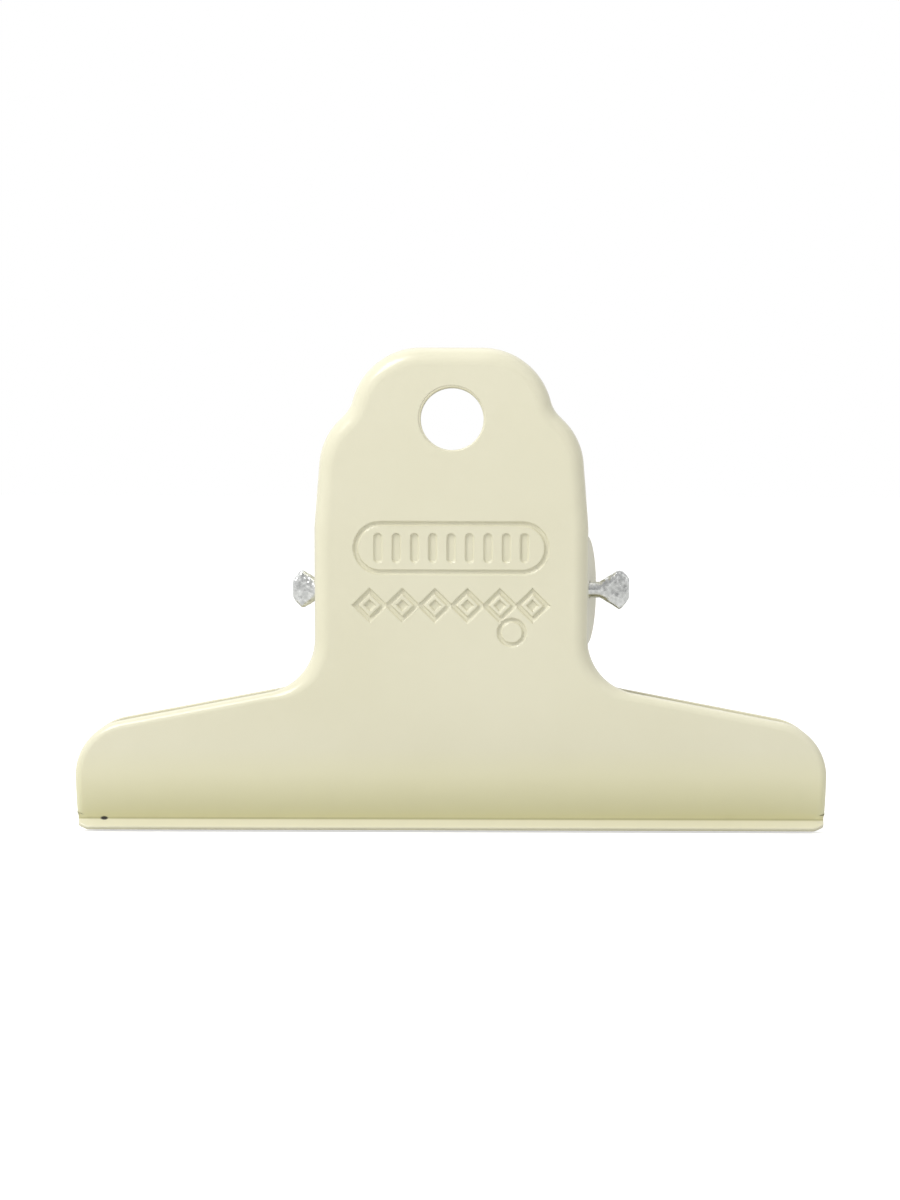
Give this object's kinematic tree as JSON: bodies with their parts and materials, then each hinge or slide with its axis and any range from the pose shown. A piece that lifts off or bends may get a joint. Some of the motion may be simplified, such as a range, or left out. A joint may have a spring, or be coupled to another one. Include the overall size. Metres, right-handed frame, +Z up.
{
  "type": "spring letter clip",
  "caption": "Wide spring clip for paper: two pressed sheet-steel halves with hanging holes turn on a pin, and a coil spring holds the long mouth shut.",
  "frame": {"origin": "under the middle of the mouth, level with the lowest edge of the lips, midway between the two halves", "axes": "+X along the mouth; -Y is the side of the front half, which carries the badge; +Z up from the mouth to the handles"},
  "size_m": [0.105, 0.0296, 0.0675],
  "materials": {
    "cream_enamel": "smooth glossy cream enamel",
    "plated_steel": "bright zinc plate, rough where the ends are crushed",
    "spring_steel": "drawn spring wire with a satin shine"
  },
  "bodies": {
    "back_half": {"back_plate": "cream_enamel", "torsion_spring": "spring_steel"},
    "front_half": {"front_plate": "cream_enamel"},
    "pin": {"pivot_pin": "plated_steel"}
  },
  "joints": [
    {"name": "jaw_hinge", "type": "hinge", "parent": "back_half", "child": "front_half", "pos_m": [0, 0, 0.0339], "axis": [-1, 0, 0], "range_deg": [0, 38], "stiffness_Nm_per_rad": 0.36, "springref_deg": -85.94, "deforming": ["torsion_spring"]},
    {"name": "pin_spin", "type": "hinge", "parent": "back_half", "child": "pin", "pos_m": [0, 0, 0.0339], "axis": [1, 0, 0], "continuous": true}
  ]
}
